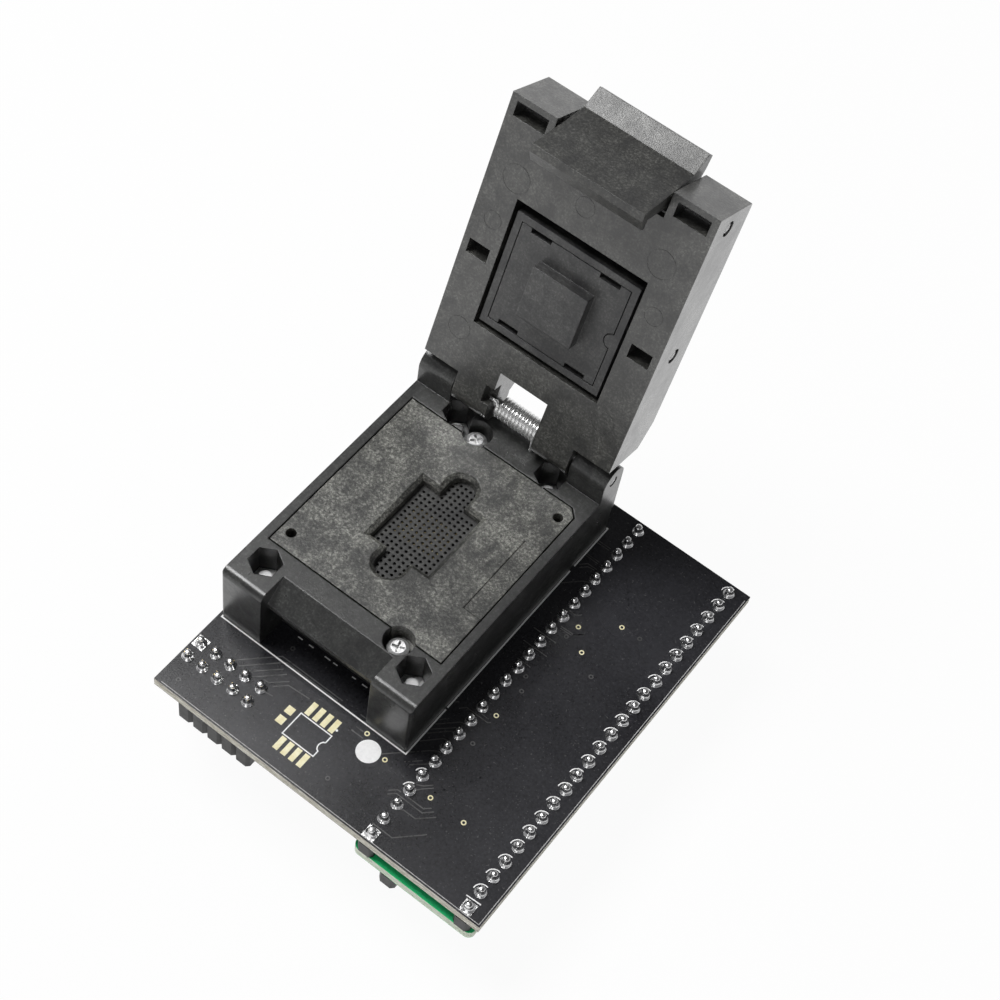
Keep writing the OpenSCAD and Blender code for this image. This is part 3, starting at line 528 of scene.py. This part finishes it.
TRACKS = (
    [(-36.25, -22.94), (-33.0, -19.6), (-32.05, -18.65), (-22.0, -18.6)],
    [(-35.43, -23.39), (-31.6, -19.5), (-31.0, -19.0), (-22.5, -19.0)],
    [(-33.55, -22.8), (-30.75, -20.0)], [(-33.0, -23.44), (-29.9, -20.3)],
    [(-31.71, -22.82), (-30.9, -22.7), (-29.0, -20.9)],
    [(-30.16, -22.83), (-28.7, -21.38), (-25.4, -21.15)],
    [(-30.61, -24.09), (-29.26, -23.88)], [(-30.58, -26.71), (-30.0, -26.5)],
    [(-18.34, -20.3), (-17.2, -20.3)], [(-18.53, -21.06), (-16.61, -21.06)],
    [(-19.0, -18.62), (-17.98, -18.62)],
    [(-13.44, -21.24), (-8.95, -16.85), (-8.12, -16.3), (-7.7, -16.2)],
    [(-10.86, -16.68), (-8.8, -14.5), (-7.9, -14.2)], [(-10.81, -15.2), (-8.5, -12.85)],
    [(-10.85, -14.46), (-8.45, -12.17), (-7.8, -12.05)],
    [(-10.8, -13.49), (-8.6, -11.25), (-7.9, -10.95)], [(-10.8, -12.62), (-9.92, -11.72)],
    [(-9.89, -9.72), (-9.15, -8.97), (-5.75, -8.97), (-5.45, -8.66)],
    [(-7.1, -8.5), (-5.99, -8.48)], [(-10.98, -9.42), (-10.43, -8.96)],
    [(-10.53, -20.22), (-8.85, -18.6)], [(-10.02, -20.39), (-8.0, -18.48)],
    [(-7.4, -21.74), (-6.6, -21.3), (-5.7, -20.4)],
    [(-6.95, -22.3), (-6.5, -21.75), (-5.4, -20.7)],
    [(-9.61, -24.59), (-8.75, -23.78), (-8.25, -23.78)],
    [(-9.4, -25.09), (-8.6, -24.3), (-4.45, -24.3), (-3.41, -23.25)],
    [(-7.12, -23.77), (-4.65, -23.75), (-3.94, -23.02)],
    [(-6.86, -25.76), (-6.5, -25.48), (-4.58, -25.46), (-2.73, -23.62)],
    [(-8.36, -29.34), (-5.25, -29.31), (-2.16, -26.2)],
    [(-9.6, 6.3), (-5.9, 6.3)], [(-9.5, 3.85), (-5.65, 3.85)], [(-8.48, 1.15), (-6.35, 1.15)],
    [(-6.77, 8.53), (-5.1, 8.6), (-3.8, 9.8)], [(-10.99, 14.17), (-8.85, 16.4), (-7.9, 16.9)],
    [(-10.73, 18.27), (-9.9, 19.15), (-8.4, 19.2)], [(-10.43, 17.86), (-9.6, 18.75), (-8.6, 18.9)],
    [(-13.1, 22.8), (-8.9, 22.8)], [(-12.8, 23.15), (-8.9, 23.15)],
    [(-12.67, 20.36), (-8.8, 20.36)], [(-12.4, 20.05), (-8.8, 20.05)],
    [(-7.74, 11.47), (-6.36, 11.48), (-5.8, 12.09)], [(-6.9, 8.8), (-4.71, 8.9), (-3.69, 9.99)],
)


def chip_pads(b):
    """Two rows of four pads for a small chip, and two for the part beside it."""
    for k in range(4):
        for y in CHIP_PAD_ROWS:
            prism(b, box_outline(CHIP_PAD_X + CHIP_PAD_PITCH * k, y, *CHIP_PAD), *PAD)
    for x, y in PART_PADS:
        prism(b, box_outline(x, y, *PART_PAD), *PAD)


def via_rings(b):
    for x, y in VIAS:
        ring(b, x, y, *VIA, BOARD_TOP, BOARD_TOP + 0.04)


def covered_vias(b):
    for x, y in COVERED_VIAS:
        ring(b, x, y, *COVERED_VIA, TRACK[0], TRACK[1] + 0.01, sides=20)


def tracks(b):
    for path in TRACKS:
        stroke(b, path, TRACK_W, *TRACK)


def long_tracks(b):
    """Runs between the two rows, beside the left row's front and out of the header."""
    for k in range(7):
        x, front, back = -4.9 + 0.62 * k, -21.5 + 1.05 * k, 21.6 - 0.8 * k
        stroke(b, [(x - 1.1, front - 1.1), (x, front), (x, back), (x - 0.9, back + 0.9)],
               LONG_TRACK_W, *TRACK)
    stroke(b, [(-10.6, -28.6), (-9.9, -27.6), (-9.9, -17.2)], LONG_TRACK_W, *TRACK)
    stroke(b, [(-11.1, -28.4), (-10.3, -27.4), (-10.3, -17.6)], LONG_TRACK_W, *TRACK)
    for k in range(4):
        y = -26.4 - 0.62 * k
        stroke(b, [(-34.6 + k, y - 0.3), (-33.8 + k, y), (-25.4, y)], LONG_TRACK_W, *TRACK)


# ---------------------------------------------------------------- solder joints
FILLET = ((0.86, 0.0), (0.83, 0.07), (0.7, 0.17), (0.56, 0.34), (0.47, 0.56), (0.42, 0.78),
          (0.36, 0.9), (0.2, 0.92))  # radius and height
BEAD = ((1.0, -0.75), (1.0, -0.16), (0.88, 0.0), (0.6, 0.07), (0.2, 0.10))  # share of r, height
SQUARE_PAD = 1.75


def header_places():
    x, y = HEADER_AT
    return [(x + (i - 2) * PITCH, y + (j - 0.5) * PITCH)
            for i in range(HEADER_COLUMNS) for j in range(HEADER_ROWS)]


def joint_places():
    rows = [(s * ROW_X, FIRST_Y + k * PITCH) for s in (-1, 1) for k in range(PINS_IN_ROW)]
    return rows + header_places()


def solder_fillets(b):
    """Concave fillets drawn up the square pins, each a little different."""
    rnd = random.Random(11)
    sides = 20
    for x, y in joint_places():
        phase, lean = rnd.uniform(0, 6.28), rnd.uniform(0.0, 0.12)
        tall = rnd.uniform(0.85, 1.12)
        rows = []
        for r, h in FILLET:
            row = []
            for k in range(sides):
                a = 2 * math.pi * k / sides
                q = r * (1 + lean * math.cos(a - phase) + 0.04 * math.sin(3 * a + phase))
                row.append(vertex(b, x + q * math.cos(a), y + q * math.sin(a),
                                  BOARD_TOP + h * tall))
            rows.append(row)
        skin(b, rows)


def pin_beads(b):
    """Snipped pin ends under a domed bead of solder, each leaning a little."""
    rnd = random.Random(5)
    for x, y in joint_places():
        r = rnd.uniform(0.44, 0.5)
        lean = (rnd.uniform(-0.05, 0.05), rnd.uniform(-0.05, 0.05))
        skin(b, [[vertex(b, px + lean[0], py + lean[1], PIN_TAIL + h)
                  for px, py in disc(x, y, r * share, 16)] for share, h in BEAD])


def square_pads(b):
    """Square pads under the first pin of each row and of the header."""
    for x, y in ((-ROW_X, FIRST_Y), (ROW_X, FIRST_Y), header_places()[1]):
        prism(b, box_outline(x, y, SQUARE_PAD, SQUARE_PAD), BOARD_TOP - 0.005, BOARD_TOP + 0.05)


# ---------------------------------------------------------------- socket and lid
EJECTOR_MARKS = ((-11.6, 9.2, 1.7), (11.6, 9.4, 1.7), (-11.0, 33.5, 2.0), (10.6, 34.4, 2.0),
                 (-1.2, 35.4, 1.4), (-12.2, 26.4, 1.3), (12.3, 27.4, 1.3))  # x, u, radius
MARK_W, MARK_H = 0.05, 0.03


def lid_point(p):
    """Closed-lid coordinates about the hinge axis (x, -u, v), carried to the open lid."""
    return HINGE + Matrix.Rotation(-LID_OPEN, 3, "X") @ p


def ejector_marks(b):
    """Faint rings that the ejector pins left on the lid's inner face."""
    for x, u, r in EJECTOR_MARKS:
        skin(b, [[vertex(b, px, py, LID_FACE + h, lid_point) for px, py in disc(x, -u, q, 40)]
                 for q, h in ((r - MARK_W, 0.0), (r, 0.0), (r, -MARK_H), (r - MARK_W, -MARK_H))],
             looped=True)


def bolt_tips(b):
    """Round ends of the four bolts standing out of their nuts."""
    for k in range(1, 5):
        low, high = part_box("base_nut_%d" % k)
        centre = (low + high) / 2 / MM
        rounded_tip(b, BOLT_R, high.z / MM - TIP_START, NEST_TOP - BOLT_TIP_DEPTH,
                    lambda p: Vector((centre.x, centre.y, 0)) + p)


def pin_tips(b, names, tip):
    """Domed ends of pins that lie along x, standing out at both sides."""
    for name in names:
        low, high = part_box(name)
        centre = (low + high) / 2 / MM
        reach = (high.x - low.x) / MM / 2
        for side in (-1, 1):
            turn = Matrix.Rotation(side * math.pi / 2, 3, "Y")
            rounded_tip(b, PIN_R, reach - TIP_START, reach + tip,
                        lambda p: centre + turn @ p)


def tube(b, path, radius, sides=12):
    """A round wire along points, capped at both ends."""
    pts = [Vector(p) for p in path]
    normal = None
    rows = []
    for i, p in enumerate(pts):
        run = (pts[min(i + 1, len(pts) - 1)] - pts[max(i - 1, 0)]).normalized()
        if normal is None:
            normal = run.orthogonal().normalized()
        normal = (normal - run * normal.dot(run)).normalized()
        side = run.cross(normal)
        rows.append([b.verts.new((p + radius * (math.cos(a) * normal + math.sin(a) * side)) * MM)
                     for a in [2 * math.pi * k / sides for k in range(sides)]])
    skin(b, rows)


def hinge_coil(b):
    """Close-wound torsion spring hanging a little low on its pin: one leg lies along x in
    the lid's slot, and the other runs down to the base."""
    turns, steps, rise, r, wire, leg = 11, 36, 0.586, 1.38, 0.28, 2.7
    start = -3.2
    first, last = 236, 287.5  # angles of the coil's two ends, in degrees
    hang = Vector((0, 0, -0.22))
    n = turns * steps
    coil = []
    for i in range(n + 1):
        a = math.radians(first + (turns * 360 + last - first) * i / n)
        coil.append(Vector((start + rise * turns * i / n, r * math.cos(a), r * math.sin(a))))
    leg_up = [Vector((-4.45, -1.42, -1.42)), Vector((-3.45, -1.42, -1.42))]
    leg_down = [coil[-1] + leg * Vector((0, math.sin(LID_OPEN), -math.cos(LID_OPEN)))]
    tube(b, [lid_point(p) + hang for p in leg_up + coil + leg_down], wire)


# ---------------------------------------------------------------- stage and light
def make_stage():
    """A paper floor that takes the part's shadow and looks white to camera and gloss."""
    mesh = bpy.data.meshes.new("floor")
    b = bmesh.new()
    z = cad_box[0].z - FLOOR_DROP
    b.faces.new([b.verts.new((x * FLOOR_HALF, y * FLOOR_HALF, z))
                 for x, y in ((-1, -1), (1, -1), (1, 1), (-1, 1))])
    b.to_mesh(mesh)
    b.free()
    floor = bpy.data.objects.new("floor", mesh)
    bpy.context.scene.collection.objects.link(floor)
    material = bpy.data.materials.new("floor")
    material.use_nodes = True
    material.node_tree.nodes.clear()
    n = Nodes(material.node_tree)
    grain = n.add("TexNoise", Scale=300).outputs["Fac"]
    paper = n.add("BsdfDiffuse", Color=n.ramp(grain, (0, grey(0.86)), (1, grey(0.90))))
    glow = n.add("Emission", Strength=1.0)
    rays = n.add("LightPath").outputs
    seen = n.math("MAXIMUM", rays["Is Camera Ray"],
                  n.math("MAXIMUM", rays["Is Glossy Ray"], rays["Is Transmission Ray"]))
    mix = n.add("MixShader", Fac=n.math("MULTIPLY", seen, FLOOR_WHITE))
    n.feed(mix.inputs[1], paper.outputs["BSDF"])
    n.feed(mix.inputs[2], glow.outputs["Emission"])
    n.add("OutputMaterial", Surface=mix.outputs["Shader"])
    floor.data.materials.append(material)


def area_light(name, at, size, power):
    data = bpy.data.lights.new(name, "AREA")
    data.shape = "RECTANGLE"
    data.size, data.size_y = size
    data.energy = power
    light = bpy.data.objects.new(name, data)
    light.location = at
    light.rotation_mode = "QUATERNION"
    light.rotation_quaternion = (Vector(LAMPS_AIM) - Vector(at)).to_track_quat("-Z", "Y")
    bpy.context.scene.collection.objects.link(light)


def make_light():
    """A white background, an even ambient light, a studio sky for gloss, and soft lamps."""
    world = bpy.data.worlds.new("studio")
    bpy.context.scene.world = world
    world.use_nodes = True
    n = Nodes(world.node_tree)
    sky = n.ramp(n.height_of(n.add("TexCoord").outputs["Generated"]), *SKY)
    rays = n.add("LightPath").outputs
    lit = n.mix(rays["Is Glossy Ray"], AMBIENT, sky)
    seen = n.math("MAXIMUM", rays["Is Camera Ray"], rays["Is Transmission Ray"])
    back = n.tree.nodes["Background"]
    n.feed(back.inputs["Color"], n.mix(seen, lit, (1, 1, 1)))
    n.feed(back.inputs["Strength"], 1.0)
    for lamp in LAMPS:
        area_light(*lamp)


make_camera()
dress_cad()
add_piece("board_print_and_arcs", board_print_and_arcs, "silk_ink")
add_piece("chip_pads", chip_pads, "gold_pads")
add_piece("via_rings", via_rings, "gold_pads")
add_piece("tracks", tracks, "copper_under_mask")
add_piece("long_tracks", long_tracks, "black_board")
add_piece("covered_vias", covered_vias, "copper_under_mask")
fillets = add_piece("solder_fillets", solder_fillets, "solder", smooth=True)
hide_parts("solder_joints")
add_piece("pin_beads", pin_beads, "solder", smooth=True)
add_piece("square_pads", square_pads, "solder")
# painted highlight along the board's front and right edges
add_piece("painted_edge_highlight", painted_edge_highlight, "mask_edge")
add_piece("bolt_tips", bolt_tips, "zinc_ends", smooth=True)
add_piece("pin_tips", lambda b: pin_tips(b, ("latch_pin", "pusher_pin"), PIN_TIP), "zinc_ends",
          "lid", True)
add_piece("ejector_marks", ejector_marks, "lid_black", "lid")
coil = add_piece("hinge_coil", hinge_coil, "spring_steel", "lid", True)
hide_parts("hinge_spring")
add_piece("hinge_pin_tips", lambda b: pin_tips(b, ("hinge_pin",), HINGE_PIN_TIP), "zinc_ends",
          smooth=True)
make_stage()
make_light()
